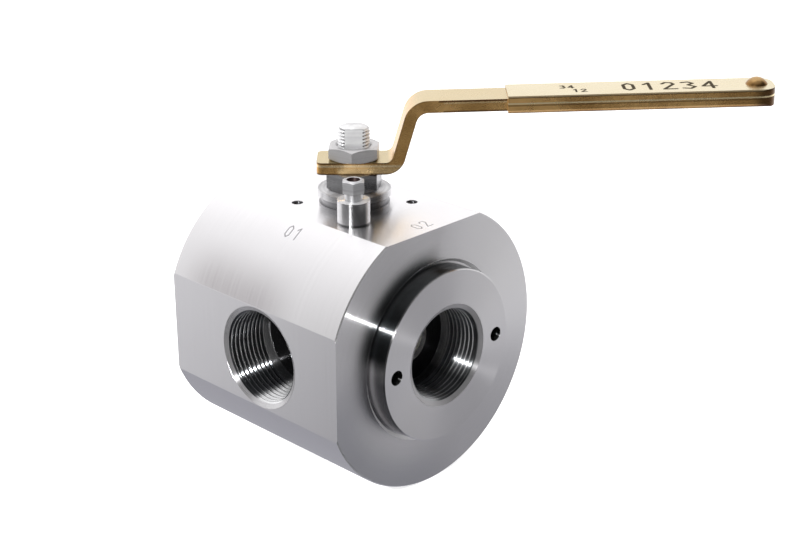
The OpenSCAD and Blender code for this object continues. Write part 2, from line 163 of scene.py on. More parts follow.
# Studio: a pale floor, a room that is white behind the valve and dark round the camera, and a small key light
studio = {
    "floorDrop": 118.0,  # mm from the pad down to the floor
    "floorSize": 6.0,  # m
    "floorColour": (0.88, 0.88, 0.88, 1),
    "floorGlow": 0.75,
    "away": (-0.70, 0.714, 0.0),  # level direction from the camera
    "left": (-0.714, -0.70, 0.0),
    "darkest": 0.04,
    "back": 0.68,
    "farBack": 0.66,
    "leftExtra": (0.36, 0.06),  # below and above the horizon
    "rightBack": 0.5,
    "leftLow": 0.25,
    "leftHigh": 0.30,
    "rightShift": 0.25,  # the dark part reaches further round on the right, above the horizon
    "table": 0.12,  # in front of the valve, far below the horizon
    "overhead": 0.60,
    "tableShade": 0.68,
    "rightLow": 0.40,  # pale wall low on the right, seen in the end face
    "warm": (1.0, 0.99, 0.995, 1),
    "cool": (0.95, 0.95, 1.05, 1),
    "steps": {  # the cosines between which each soft step of the sky goes from none to full
        "back": (-0.25, 0.25), "behind": (0.2, 1.0), "aside": (0.0, 0.4), "ahead": (-0.5, 0.0),
        "left": (0.2, 0.95), "right": (-0.2, -0.8), "farRight": (-0.3, -0.9),
        "overhead": (0.7, 0.95), "rising": (-0.1, 0.4), "level": (-0.15, 0.15), "horizon": (-0.2, 0.2),
        "below": (-0.1, -0.35), "cool": (-0.3, -0.6), "tableShade": (-0.36, -0.54),
        "wallFoot": (-0.46, -0.66), "table": (-0.5, -0.75),
    },
    "keyAzimuth": 21.0,
    "keyElevation": 27.3,
    "keyDistance": 0.9,
    "keySize": 0.03,
    "keyPower": 8.0,
}


def buildSky(values):
    # Brightness from three cosines of the direction d: u towards away, v towards the left, z upwards, with u
    # and v taken of d laid level. Each part is a product of soft steps of them: white behind, more on the
    # left, dark in front. The sum is dimmed far below the horizon, where the table would be.
    world = bpy.data.worlds.new("studioSky")
    bpy.context.scene.world = world
    world.use_nodes = True
    tree = world.node_tree
    tree.nodes.clear()
    direction = addNode(tree, "ShaderNodeTexCoord").outputs["Generated"]
    level = doVector(tree, "NORMALIZE", doVector(tree, "MULTIPLY", direction, (1, 1, 0)))
    u, v = dot(tree, level, values["away"]), dot(tree, level, values["left"])
    z = dot(tree, direction, (0, 0, 1))
    steps = values["steps"]

    def step(value, name, full=1.0):
        return remap(tree, value, *steps[name], 0, full, True)

    def opposite(value):
        return minus(tree, 1.0, value)

    right = times(tree, step(v, "right"), step(z, "horizon", values["rightShift"]))
    back = step(minus(tree, u, right), "back")
    left, farRight = step(v, "left"), step(v, "farRight")
    extra = times(tree, left, remap(tree, z, *steps["rising"], *values["leftExtra"], True))
    lowWall = minus(tree, step(z, "below", values["rightLow"]), step(z, "wallFoot", values["rightLow"]))
    total = plus(
        tree, values["darkest"],
        times(tree, back, plus(tree, values["back"], extra)),
        times(tree, step(u, "aside", values["rightBack"]), farRight, step(z, "below")),
        times(tree, opposite(back), farRight, lowWall),
        step(u, "behind", values["farBack"]),
        times(tree, left, values["leftLow"], opposite(back)),
        times(tree, left, step(u, "ahead"), step(z, "level", values["leftHigh"])),
        times(tree, opposite(back), step(z, "table", values["table"])),
        times(tree, opposite(step(u, "behind")), step(z, "overhead", values["overhead"])))
    bright = times(tree, total, opposite(step(z, "tableShade", values["tableShade"])))
    tint = mixColours(tree, step(z, "cool"), values["warm"], values["cool"])
    background = addNode(tree, "ShaderNodeBackground", {"Color": tint, "Strength": bright})
    addNode(tree, "ShaderNodeOutputWorld", {"Surface": background.outputs[0]})


def buildFloor(values):
    # A square floor that mirrors in no metal, so the sky's lower half stands for the table there
    half, low = values["floorSize"] / 2, -values["floorDrop"] * mm
    corners = [(-half, -half, low), (half, -half, low), (half, half, low), (-half, half, low)]
    mesh = bpy.data.meshes.new("studioFloor")
    mesh.from_pydata(corners, [], [(0, 1, 2, 3)])
    floor = bpy.data.objects.new("studioFloor", mesh)
    bpy.context.scene.collection.objects.link(floor)
    floor.visible_glossy = False
    material = bpy.data.materials.new("paleFloor")
    material.use_nodes = True
    feed(material.node_tree, material.node_tree.nodes["Principled BSDF"],
         {"Base Color": values["floorColour"], "Roughness": 0.9, "Specular IOR Level": 0.0,
          "Emission Color": (1, 1, 1, 1), "Emission Strength": values["floorGlow"]})
    mesh.materials.append(material)


def addKeyLight(values):  # a small square lamp on the line of the bright streaks that the photo shows
    away = directionAt(values["keyAzimuth"], values["keyElevation"])
    data = bpy.data.lights.new("keyLight", "AREA")
    data.shape, data.size, data.energy = "SQUARE", values["keySize"], values["keyPower"]
    side = np.cross([0, 0, 1], away)
    side /= np.linalg.norm(side)
    standAt("keyLight", data, [side, np.cross(away, side), away], away * values["keyDistance"])


buildSky(studio)
buildFloor(studio)
addKeyLight(studio)
print("four-way ball valve: studio ready")


def newGroup(name, inputs, outputs):
    group = bpy.data.node_groups.new(name, "ShaderNodeTree")
    for label, kind, value in inputs:
        socket = group.interface.new_socket(label, in_out="INPUT", socket_type=kind)
        if value is not None:
            socket.default_value = value
    for label, kind in outputs:
        group.interface.new_socket(label, in_out="OUTPUT", socket_type=kind)
    return group, group.nodes.new("NodeGroupInput").outputs, group.nodes.new("NodeGroupOutput").inputs


def lineNoise(tree, place, detail, roughness):  # noise of one coordinate, about one wave to each unit of it
    return addNode(tree, "ShaderNodeTexNoise", {"W": place, "Scale": 1.0, "Detail": detail,
                                                "Roughness": roughness}, noise_dimensions="1D").outputs[0]


def grooveNoise(tree, across, linesPerMetre):
    return lineNoise(tree, times(tree, across, linesPerMetre), 3.0, 0.65)


def makeToolMarks():  # fine and coarse noise of one coordinate, so it is constant along each machined groove
    group, given, result = newGroup(
        "toolMarks", [("Across", "NodeSocketFloat", 0.0), ("Lines per metre", "NodeSocketFloat", 3000.0)],
        [("Groove", "NodeSocketFloat"), ("Band", "NodeSocketFloat")])
    across, linesPerMetre = given["Across"], given["Lines per metre"]
    band = lineNoise(group, times(group, across, linesPerMetre, 0.09), 2.0, 0.5)
    group.links.new(grooveNoise(group, across, linesPerMetre), result["Groove"])
    group.links.new(band, result["Band"])
    return group


def makeHandling():  # soft clouds and fine specks over a surface, from noise of the object's own coordinates
    group, given, result = newGroup(
        "handling", [("Place", "NodeSocketVector", None), ("Cloud scale", "NodeSocketFloat", 25.0)],
        [("Cloud", "NodeSocketFloat"), ("Speck", "NodeSocketFloat")])
    cloud = addNode(group, "ShaderNodeTexNoise", {"Vector": given["Place"], "Scale": given["Cloud scale"],
                                                  "Detail": 4.0, "Roughness": 0.6})
    speck = addNode(group, "ShaderNodeTexNoise", {"Vector": given["Place"], "Scale": 1400.0, "Detail": 2.0})
    group.links.new(cloud.outputs[0], result["Cloud"])
    group.links.new(speck.outputs[0], result["Speck"])
    return group


def makeStroke():  # distance from a point P to the line from A to B: |P - A - t (B - A)|, t held from 0 to 1
    group, given, result = newGroup(
        "stroke", [(label, "NodeSocketVector", None) for label in ("Place", "From", "To")],
        [("Distance", "NodeSocketFloat")])
    reach = doVector(group, "SUBTRACT", given["Place"], given["From"])
    line = doVector(group, "SUBTRACT", given["To"], given["From"])
    share = doMath(group, "DIVIDE", dot(group, reach, line), dot(group, line, line))
    held = addNode(group, "ShaderNodeClamp", {"Value": share}).outputs[0]
    away = doVector(group, "SUBTRACT", reach, scaled(group, line, held))
    group.links.new(doVector(group, "LENGTH", away), result["Distance"])
    return group


toolMarks = makeToolMarks()
handling = makeHandling()
stroke = makeStroke()

digitLines = {  # corner points of each digit's strokes, in a cell one unit high
    "0": [(0.10, 0.20), (0.10, 0.80), (0.30, 1.0), (0.50, 0.80), (0.50, 0.20), (0.30, 0.0), (0.10, 0.20)],
    "1": [(0.12, 0.78), (0.34, 1.0), (0.34, 0.0)],
    "2": [(0.06, 0.80), (0.22, 1.0), (0.46, 0.95), (0.54, 0.72), (0.06, 0.0), (0.58, 0.0)],
    "3": [(0.06, 0.92), (0.34, 1.0), (0.52, 0.78), (0.28, 0.54), (0.56, 0.26), (0.34, 0.0), (0.04, 0.08)],
    "4": [(0.44, 0.0), (0.44, 1.0), (0.04, 0.30), (0.60, 0.30)],
}
digitPitch = 0.85


def flatPlace(tree, mark, barRadius, local, parts):
    # The flat coordinates that a number is drawn in, in mm, and a gate that is 1 on its own face only. On the
    # pad and the grip they are x and y, turned; on the round bar x and the arc R atan2(side, height).
    up = minus(tree, parts[2], portCentre)
    if mark["where"] in ("pad", "lever"):
        turn = math.radians(mark["turn"])
        across = dot(tree, local, (math.cos(turn), math.sin(turn), 0))
        high = dot(tree, local, (-math.sin(turn), math.cos(turn), 0))
        if mark["where"] == "pad":
            return across, high, remap(tree, parts[2], -0.2, -0.1, 0, 1)
        rise = times(tree, across, math.tan(math.radians(leverPlating["slope"])))  # as the arm rises
        top = leverPlating["armHeight"] + leverPlating["gripTop"]
        return across, high, remap(tree, minus(tree, parts[2], rise), top - 0.1, top, 0, 1)
    if mark["where"] == "back":
        return times(tree, parts[1], -1.0), up, remap(tree, parts[0], -55.8, -55.7, 1, 0)
    side = times(tree, parts[1], float(mark["side"]))
    arc = times(tree, doMath(tree, "ARCTAN2", side, up), -barRadius)
    return times(tree, parts[0], float(-mark["side"])), arc, remap(tree, side, 20.0, 21.0, 0, 1)


def stampedNumbers(tree, place, marks):
    # A mask of thin strokes, which falls from 1 to 0 round the stroke's half width
    local = scaled(tree, place, 1 / mm)
    parts = addNode(tree, "ShaderNodeSeparateXYZ", {0: local}).outputs
    total = None
    for mark in marks["numbers"]:
        size, width = (mark.get(key, marks[key]) for key in ("size", "width"))
        across, high, gate = flatPlace(tree, mark, marks["barRadius"], local, parts)
        flat = addNode(tree, "ShaderNodeCombineXYZ", {0: across, 1: high}).outputs[0]
        flat = doVector(tree, "SUBTRACT", flat, (*mark["at"], 0))
        nearest = None
        for index, digit in enumerate(mark["text"]):
            corners = [((x + digitPitch * index) * size, y * size, 0) for x, y in digitLines[digit]]
            for first, second in zip(corners, corners[1:]):
                gap = addNode(tree, "ShaderNodeGroup", node_tree=stroke,
                              inputs={"Place": flat, "From": first, "To": second}).outputs[0]
                nearest = gap if nearest is None else doMath(tree, "MINIMUM", nearest, gap)
        mask = times(tree, remap(tree, nearest, width * 0.4, width * 0.6, 1, 0), gate)
        total = mask if total is None else doMath(tree, "MAXIMUM", total, mask)
    return total


def newMaterial(name):
    material = bpy.data.materials.new(name)
    material.use_nodes = True
    tree = material.node_tree
    return material, tree, tree.nodes["Principled BSDF"]


bumpDepth = 0.0002  # m


def turnedField(tree, finish, axisPoint, axis):
    # What a surface turned about an axis knows of itself: its height along the axis, its radius, the
    # direction outwards, and whether it is an end face or a wall, from |normal . axis|. The tool marks go by
    # the radius on end faces and by the height on walls, so they run round the axis.
    coordinates = addNode(tree, "ShaderNodeTexCoord").outputs
    field = SimpleNamespace(place=coordinates["Object"], normal=coordinates["Normal"], axis=axis)
    field.offset = doVector(tree, "SUBTRACT", field.place, tuple(v * mm for v in axisPoint))
    field.along = dot(tree, field.offset, axis)
    level = doVector(tree, "SUBTRACT", field.offset, scaled(tree, axis, field.along))
    field.outwards = doVector(tree, "NORMALIZE", level)
    field.radius = dot(tree, field.offset, field.outwards)
    field.facing = doMath(tree, "ABSOLUTE", dot(tree, field.normal, axis))
    field.isEnd = remap(tree, field.facing, 0.6, 0.8, 0, 1)
    field.isWall = minus(tree, 1.0, field.isEnd)
    field.across = plus(tree, times(tree, field.radius, field.isEnd), times(tree, field.along, field.isWall))
    field.tools = addNode(tree, "ShaderNodeGroup", node_tree=toolMarks,
                          inputs={"Across": field.across, "Lines per metre": finish["linesPerMetre"]}).outputs
    field.hands = addNode(tree, "ShaderNodeGroup", node_tree=handling,
                          inputs={"Place": field.place, "Cloud scale": finish["cloudScale"]}).outputs
    return field


def steelColour(tree, field, finish):
    bands = remap(tree, field.tools["Band"], 0.3, 0.7, 0, 1)
    colour = mixColours(tree, bands, finish["dark"], finish["light"])
    clouds = remap(tree, field.hands["Cloud"], 0.35, 0.75, 0, finish["clouds"])
    return mixColours(tree, clouds, colour, finish["cloudColour"])


def threadLook(tree, field, look, rough, metallic):
    # Crests are worn bright, the grooves are painted shade, and the bore is painted into shade deeper down
    # and on its floor; the mouth's chamfer is clean. A painted highlight fan and a painted shade fan each
    # follow one direction outwards from the port's axis.
    crest = remapMm(tree, field.radius, look["crest"], look["crest"] + look["edge"], 1, 0)
    mouth = remapMm(tree, field.radius, look["mouth"], look["mouth"] + 0.1, 0, 1)
    # painted shade, growing deeper down the bore
    depth = remapMm(tree, doMath(tree, "ABSOLUTE", field.along), look["deep"], look["shallow"],
                    look["deepShare"], 1)
    # the lit fan is a painted highlight, the unlit fan painted shade
    lit, unlit = (remap(tree, dot(tree, field.outwards, fan["aim"]), fan["wide"], fan["narrow"], 0,
                        fan["share"], True) for fan in (look["lit"], look["unlit"]))
    colour = mixColours(tree, crest, look["grooveShadeColour"], look["crestColour"])
    colour = mixColours(tree, depth, look["deepShadeColour"], colour)
    colour = mixColours(tree, lit, colour, look["litColour"])
    colour = mixColours(tree, unlit, colour, look["unlitColour"])
    colour = mixColours(tree, mouth, colour, look["mouthColour"])
    # painted shade on the port's floor
    colour = mixColours(tree, remap(tree, field.facing, 0.9, 0.95, 0, 1), colour, look["floorColour"])
    rough = plus(tree, rough, times(tree, mouth, look["mouthRoughness"]))
    for mask, share in ((crest, look["dull"]), (lit, look["litDull"]), (mouth, look["mouthDull"])):
        metallic = minus(tree, metallic, times(tree, mask, share))
    return colour, rough, metallic


def wallShadePatchMask(tree, field, patch):  # painted shade: a darker reflection band on the round bar over the left port, faintly streaked
    rise = dot(tree, field.outwards, (0, 0, 1))
    nearby = doMath(tree, "ABSOLUTE", minus(tree, field.along, patch["at"] * mm))
    high, low = (math.sin(math.radians(patch[key])) for key in ("high", "low"))
    return times(tree, remapMm(tree, nearby, patch["half"], patch["half"] * 0.3, 0, 1, True),
                 remap(tree, rise, high, low, 0, 1, True),
                 remap(tree, field.tools["Band"], 0.3, 0.7, patch["streaks"], 1),
                 remap(tree, dot(tree, field.outwards, (0, -1, 0)), 0.7, 0.75, 0, patch["share"]),
                 remap(tree, rise, *patch["flatEdge"], 0, 1), field.isWall)


def footShadowMask(tree, field, foot):  # painted contact shadow: a dark line where the piece stands on the pad
    return remapMm(tree, field.along, foot["height"] * 0.4, foot["height"], foot["share"], 0)


def grooveShadeMask(tree, field, grooves):  # painted shade in the stem thread's grooves, left off its two flats
    onFlat = doMath(tree, "ABSOLUTE", dot(tree, field.normal, grooves["flatsTowards"]))
    low = remapMm(tree, field.radius, grooves["root"], grooves["crest"], grooves["share"], 0)
    return times(tree, low, remap(tree, onFlat, 0.96, 0.99, 1, 0), field.isWall)


def boreShadeMask(tree, field, bore):  # painted shade inside the screw's hollow
    return remapMm(tree, field.radius, bore["radius"], bore["radius"] + 0.1, bore["share"], 0)


def holeShadeMask(tree, field, holes):  # painted shade inside the pin spanner holes: sqrt((|y| - spacing)^2 + z^2) < hole radius
    aside = minus(tree, doMath(tree, "ABSOLUTE", dot(tree, field.offset, (0, 1, 0))), holes["spacing"] * mm)
    flat = addNode(tree, "ShaderNodeCombineXYZ", {0: aside, 1: dot(tree, field.offset, (0, 0, 1))}).outputs[0]
    inside = remapMm(tree, doVector(tree, "LENGTH", flat), holes["radius"], holes["radius"] + 0.05, 1, 0)
    return times(tree, inside, remapMm(tree, field.along, holes["face"] - 0.6, holes["face"] - 0.2,
                                       holes["share"], 0))


def cornerShadeMask(tree, field, corner):  # painted shade on the connector's round wall next to the end face, heavier higher up
    onRim = remapMm(tree, field.radius, corner["radius"] - 0.4, corner["radius"] - 0.2, 0, 1)
    share = remapMm(tree, dot(tree, field.offset, (0, 0, 1)), corner["from"], corner["to"], corner["low"],
                    corner["high"], True)
    return times(tree, onRim, field.isWall, share)


def shadePatchMask(tree, field, shadePatch):  # a soft patch of painted shade on the end face, along one direction from the axis
    angle = math.radians(shadePatch["angle"])
    aim = dot(tree, field.outwards, (0, -math.cos(angle), math.sin(angle)))
    return times(tree, remap(tree, aim, shadePatch["wide"], shadePatch["narrow"], 0, 1, True),
                 remapMm(tree, field.radius, shadePatch["outer"], shadePatch["inner"], 0, 1, True),
                 remapMm(tree, field.along, shadePatch["above"], shadePatch["above"] + 1, 0, shadePatch["share"]),
                 remapMm(tree, field.radius, shadePatch["edge"], shadePatch["edge"] + 0.2, 0, 1), field.isEnd)


dressings = {"wallShadePatch": wallShadePatchMask, "foot": footShadowMask, "grooves": grooveShadeMask, "bore": boreShadeMask,
             "holes": holeShadeMask, "corner": cornerShadeMask, "upperDarkReflection": shadePatchMask, "lowerPaintedShade": shadePatchMask}


def wornEdges(tree, field, wear):  # faces at 45 degrees to the axis, most of all the recess's chamfer
    slanted = times(tree, remap(tree, field.facing, 0.62, 0.68, 0, 1),
                    remap(tree, field.facing, 0.74, 0.8, 1, 0))
    return times(tree, slanted, remapMm(tree, field.radius, 41, 42, 1, wear["outside"]), wear["share"])


def addGlint(tree, shader, field, finish):
    # The flanks of the tool marks: a thin coat whose normal leans by t to the grain g, as n cos t + g sin t.
    # t follows the grooves' noise, made anew in the material since no group may feed a coat's normal.
    glint = finish["glint"]
    wallLean, endLean, spread = (math.radians(glint[key]) for key in ("wallLean", "endLean", "spread"))
    groove = grooveNoise(tree, field.across, finish["linesPerMetre"])
    lean = plus(tree, remap(tree, field.isEnd, 0, 1, wallLean, endLean),
                remap(tree, groove, 0.3, 0.7, -spread, spread))
    grain = toWorld(tree, mixVectors(tree, field.isEnd, field.axis, field.outwards), "VECTOR")
    upright = scaled(tree, toWorld(tree, field.normal, "NORMAL"), doMath(tree, "COSINE", lean))
    tilted = doVector(tree, "ADD", upright, scaled(tree, grain, doMath(tree, "SINE", lean)))
    feed(tree, shader, {"Coat Normal": doVector(tree, "NORMALIZE", tilted),
                        "Coat Weight": remap(tree, field.isEnd, 0, 1, glint["wall"], glint["end"]),
                        "Coat Roughness": glint["roughness"]})


def machinedMetal(name, finish, axisPoint=(0, 0, 0), axis=(0, 0, 1), marks=None):
    # Steel turned about an axis. The gloss stretches along the grain: away from the axis on end faces, and
    # along the axis on walls, or round it where the finish says so.
    material, tree, shader = newMaterial(name)
    field = turnedField(tree, finish, axisPoint, axis)
    rough = plus(tree, remap(tree, field.tools["Groove"], 0.25, 0.75, *finish["roughness"]),
                 remap(tree, field.hands["Cloud"], 0.3, 0.7, 0, finish["cloudRoughness"]),
                 times(tree, field.isEnd, finish.get("endRoughness", 0.0)))
    metallic = finish["metallic"]
    if "thread" in finish:
        colour, rough, metallic = threadLook(tree, field, finish["thread"], rough, metallic)
    else:
        colour = steelColour(tree, field, finish)
    for part, makeMask in dressings.items():
        if part in finish:
            colour = mixColours(tree, makeMask(tree, field, finish[part]), colour, finish[part]["colour"])
    height = plus(tree, field.tools["Groove"], times(tree, field.hands["Speck"], finish["specks"]))
    if marks:
        stamp = stampedNumbers(tree, field.place, marks)
        colour = mixColours(tree, times(tree, stamp, marks["darkness"]), colour, marks["colour"])
        height = minus(tree, height, times(tree, stamp, marks["depth"]))
    if "endDull" in finish:
        metallic = minus(tree, metallic, times(tree, field.isEnd, finish["endDull"]))
    if "edgeWear" in finish:
        metallic = minus(tree, metallic, wornEdges(tree, field, finish["edgeWear"]))
    bump = addNode(tree, "ShaderNodeBump", {"Height": height, "Strength": finish["bump"],
                                            "Distance": bumpDepth})
    wallGrain = doVector(tree, "CROSS_PRODUCT", field.outwards, axis) if finish["hoopGrain"] else axis
    grain = toWorld(tree, mixVectors(tree, field.isEnd, wallGrain, field.outwards), "VECTOR")
    feed(tree, shader, {"Base Color": colour, "Roughness": rough, "Metallic": metallic, "Tangent": grain,
                        "Normal": bump.outputs[0], "Anisotropic": finish["anisotropy"]})
    if "glint" in finish:
        addGlint(tree, shader, field, finish)
    return material


def paintedSideLine(tree, reach, height, line, fade, core, smooth):
    # A mask along the lever for a painted shade line and for a painted highlight line alike: 1 between the
    # line's two ends and within its half width of its level
    (start, stop), level, half, share = line[:4]
    onSpan = times(tree, remapMm(tree, reach, start, start + fade, 0, 1, smooth),
                   remapMm(tree, reach, stop - fade, stop, 1, 0, smooth))
    gap = doMath(tree, "ABSOLUTE", minus(tree, height, level * mm))
    return times(tree, remapMm(tree, gap, half * core, half, share, 0, smooth), onSpan)


def coatedMetal(name, finish):
    # Thin passivated plating on rolled bar: the colour drifts in soft clouds. Painted light makes it paler
    # where it faces up, painted shade darkens it towards the grip's end, and painted shade lines and painted
    # highlight lines run along the sides of the foot, the arm and the grip
    material, tree, shader = newMaterial(name)
    coordinates = addNode(tree, "ShaderNodeTexCoord").outputs
    place = coordinates["Object"]
    hands = addNode(tree, "ShaderNodeGroup", node_tree=handling,
                    inputs={"Place": place, "Cloud scale": finish["cloudScale"]}).outputs
    cloud = remap(tree, hands["Cloud"], 0.3, 0.7, 0, 1, True)
    film = mixColours(tree, cloud, finish["deep"], finish["light"])
    reach = dot(tree, place, (math.sqrt(0.5), math.sqrt(0.5), 0))
    slope = math.radians(finish["slope"])
    lean = -math.sin(slope) * math.sqrt(0.5)
    above = minus(tree, dot(tree, place, (lean, lean, math.cos(slope))), finish["armHeight"] * mm)
    # painted shade towards the grip's end
    tip = remapMm(tree, reach, finish["endFrom"], finish["endTo"], 0, finish["endShade"], True)
    film = mixColours(tree, tip, film, finish["shade"])
    height = dot(tree, place, (0, 0, 1))
    # painted shade lines and painted highlight lines along the sides
    for line in finish["footShadeAndHighlightLines"]:
        film = mixColours(tree, paintedSideLine(tree, reach, height, line, 2.0, 0.4, True), film, line[4])
    for line in finish["lines"]:
        film = mixColours(tree, paintedSideLine(tree, reach, above, line, 0.2, 0.5, False), film, line[4])
    # painted light: faces turned up are painted paler, as lit from above
    upright = dot(tree, coordinates["Normal"], (0, 0, 1))
    onGrip = remapMm(tree, reach, finish["gripStart"] - 0.5, finish["gripStart"], 0, 1)
    upwards = mixColours(tree, onGrip, finish["pale"], finish["gripPale"])
    colour = mixColours(tree, remap(tree, upright, 0.5, 1.0, 0, finish["paleShare"], True), film, upwards)
    stamp = stampedNumbers(tree, place, leverNumbers)
    colour = mixColours(tree, times(tree, stamp, leverNumbers["darkness"]), colour, leverNumbers["colour"])
    rough = doMath(tree, "MAXIMUM", remap(tree, cloud, 0, 1, *finish["roughness"]), times(tree, stamp, 0.9))
    bump = addNode(tree, "ShaderNodeBump", {"Height": hands["Speck"], "Strength": finish["bump"],
                                            "Distance": bumpDepth})
    feed(tree, shader, {"Base Color": colour, "Roughness": rough, "Normal": bump.outputs[0],
                        "Metallic": finish["metallic"]})
    return material


def plainMaterial(name, finish):  # plastic and rubber: a soft mottled colour with a fine moulded grain
    material, tree, shader = newMaterial(name)
    place = addNode(tree, "ShaderNodeTexCoord").outputs["Object"]
    hands = addNode(tree, "ShaderNodeGroup", node_tree=handling,
                    inputs={"Place": place, "Cloud scale": 60.0}).outputs
    bump = addNode(tree, "ShaderNodeBump", {"Height": hands["Speck"], "Strength": 0.15,
                                            "Distance": bumpDepth})
    feed(tree, shader, {"Base Color": mixColours(tree, hands["Cloud"], finish["dark"], finish["light"]),
                        "Roughness": remap(tree, hands["Cloud"], 0.3, 0.7, *finish["roughness"]),
                        "Normal": bump.outputs[0]})
    return material


barSteel = {
    "dark": (0.775, 0.768, 0.78, 1), "light": (0.79, 0.783, 0.795, 1), "cloudColour": (0.73, 0.72, 0.735, 1),
    "clouds": 0.25, "cloudScale": 18.0, "linesPerMetre": 7000.0, "roughness": (0.23, 0.24),
    "cloudRoughness": 0.02, "specks": 0.1, "bump": 0.002, "anisotropy": 0.97, "metallic": 1.0,
    "glint": {"wallLean": 29.5, "endLean": 60.5, "spread": 12.0, "wall": 0.0, "end": 0.25, "roughness": 0.08},
}
bodySteel = dict(
    barSteel, hoopGrain=True, edgeWear={"share": 0.6, "outside": 0.2},
    # painted shade: a darker reflection band on the round bar
    wallShadePatch={"at": -16.0, "half": 42.0, "low": 23.0, "high": 46.0, "flatEdge": (0.372, 0.376),
               "streaks": 0.82, "share": 0.85, "colour": (0.50, 0.48, 0.49, 1)},
    # angles are taken from -Y up towards +Z, radii are where the painted shade is gone and where it is full;
    # the upper patch paints the dark reflection of the connector's wall, the lower one paints shade low on
    # the face
    upperDarkReflection={"angle": 48.0, "wide": 0.64, "narrow": 0.88, "outer": 50.5, "inner": 40.0, "edge": 41.0,
                 "above": 40.0, "share": 0.85, "colour": (0.07, 0.085, 0.09, 1)},
    lowerPaintedShade={"angle": -52.0, "wide": 0.50, "narrow": 0.98, "outer": 40.0, "inner": 60.0, "edge": 41.0,
                 "above": 40.0, "share": 0.5, "colour": (0.33, 0.35, 0.40, 1)})
connectorSteel = dict(
    barSteel, hoopGrain=False, glint=dict(barSteel["glint"], wall=0.35, end=0.0),
    # corner: painted shade on the connector's round wall
    corner={"radius": 38.5, "from": 3.0, "to": 10.0, "low": 0.2, "high": 0.96,
            "colour": (0.02, 0.026, 0.03, 1)},
    # holes: painted shade inside the pin spanner holes
    holes={"spacing": 31.0, "radius": 3.35, "face": 56.0, "share": 0.93, "colour": (0.01, 0.012, 0.014, 1)})
threadSteel = {
    "cloudScale": 60.0, "linesPerMetre": 5200.0, "roughness": (0.25, 0.29), "cloudRoughness": 0.02,
    "specks": 0.0, "bump": 0.0, "anisotropy": 0.97, "metallic": 1.0, "hoopGrain": False,
    # in the thread the groove, deep and floor colours are painted shade, the lit colour a painted highlight
    # and the unlit colour painted shade
    "thread": {"crest": 20.02, "edge": 0.16, "mouth": 20.86, "deep": 35.0, "shallow": 46.0, "deepShare": 0.45,
               "grooveShadeColour": (0.28, 0.29, 0.30, 1), "crestColour": (0.74, 0.74, 0.75, 1), "dull": 0.24,
               "litColour": (0.80, 0.80, 0.81, 1), "litDull": 0.5, "unlitColour": (0.02, 0.022, 0.025, 1),
               "mouthColour": (0.42, 0.415, 0.425, 1), "mouthRoughness": 0.08, "mouthDull": 0.2,
               "deepShadeColour": (0.02, 0.02, 0.022, 1), "floorColour": (0.012, 0.012, 0.013, 1),
               "lit": {"aim": (0, -0.3, -0.95), "wide": 0.85, "narrow": 0.97, "share": 0.25},
               "unlit": {"aim": (0, 0.26, -0.97), "wide": 0.84, "narrow": 0.95, "share": 0.8}},
}
# the cross ports carry the same painted shade and painted highlight, with fans aimed for them
crossThreadSteel = dict(threadSteel, roughness=(0.17, 0.20), thread=dict(
    threadSteel["thread"], deepShare=0.36,
    grooveShadeColour=(0.17, 0.18, 0.19, 1), crestColour=(0.62, 0.62, 0.63, 1),
    lit={"aim": (0.25, 0, -0.97), "wide": 0.82, "narrow": 0.96, "share": 0.75},
    unlit={"aim": (-0.45, 0, -0.89), "wide": 0.92, "narrow": 0.985, "share": 0.88}))
platedSteel = {
    "dark": (0.54, 0.54, 0.55, 1), "light": (0.70, 0.70, 0.71, 1), "cloudColour": (0.46, 0.45, 0.45, 1),
    "clouds": 0.45, "cloudScale": 140.0, "linesPerMetre": 3000.0, "roughness": (0.30, 0.42),
    "cloudRoughness": 0.05, "specks": 0.3, "bump": 0.04, "anisotropy": 0.0, "metallic": 0.82,
    "hoopGrain": False,
}
upperNutSteel = dict(platedSteel, dark=(0.45, 0.445, 0.45, 1), light=(0.58, 0.575, 0.58, 1))
# the lower nut's darker colours are painted shade under the lever's foot
lowerNutShadeSteel = dict(platedSteel, dark=(0.30, 0.30, 0.31, 1), light=(0.46, 0.46, 0.47, 1),
                     cloudColour=(0.20, 0.20, 0.20, 1), roughness=(0.22, 0.32), metallic=0.95)
turnedSteel = {
    "dark": (0.68, 0.68, 0.69, 1), "light": (0.76, 0.76, 0.77, 1), "cloudColour": (0.60, 0.60, 0.61, 1),
    "clouds": 0.3, "cloudScale": 120.0, "linesPerMetre": 6000.0, "roughness": (0.22, 0.26),
    "cloudRoughness": 0.02, "specks": 0.1, "bump": 0.006, "anisotropy": 0.97, "metallic": 1.0,
    "hoopGrain": False, "endRoughness": 0.25, "endDull": 0.6,
}
# foot: painted contact shadow round the sleeve's base
sleeveSteel = dict(turnedSteel, foot={"height": 1.1, "share": 0.85, "colour": (0.05, 0.05, 0.052, 1)})
stemSteel = dict(turnedSteel, dark=(0.72, 0.72, 0.73, 1), light=(0.86, 0.86, 0.86, 1), metallic=0.6,
                 roughness=(0.26, 0.42), anisotropy=0.8, bump=0.03, endDull=0.3,
                 # grooves: painted shade in the thread's grooves
                 grooves={"root": 6.25, "crest": 6.75, "share": 0.85, "colour": (0.05, 0.05, 0.052, 1),
                          "flatsTowards": (math.sqrt(0.5), -math.sqrt(0.5), 0)})
screwSteel = dict(turnedSteel, dark=(0.52, 0.52, 0.53, 1), light=(0.72, 0.72, 0.73, 1), metallic=0.9,
                  roughness=(0.30, 0.42), anisotropy=0.7, endDull=0.3,
                  # bore: painted shade inside the screw's hollow
                  bore={"radius": 2.86, "share": 0.9, "colour": (0.10, 0.05, 0.045, 1)})
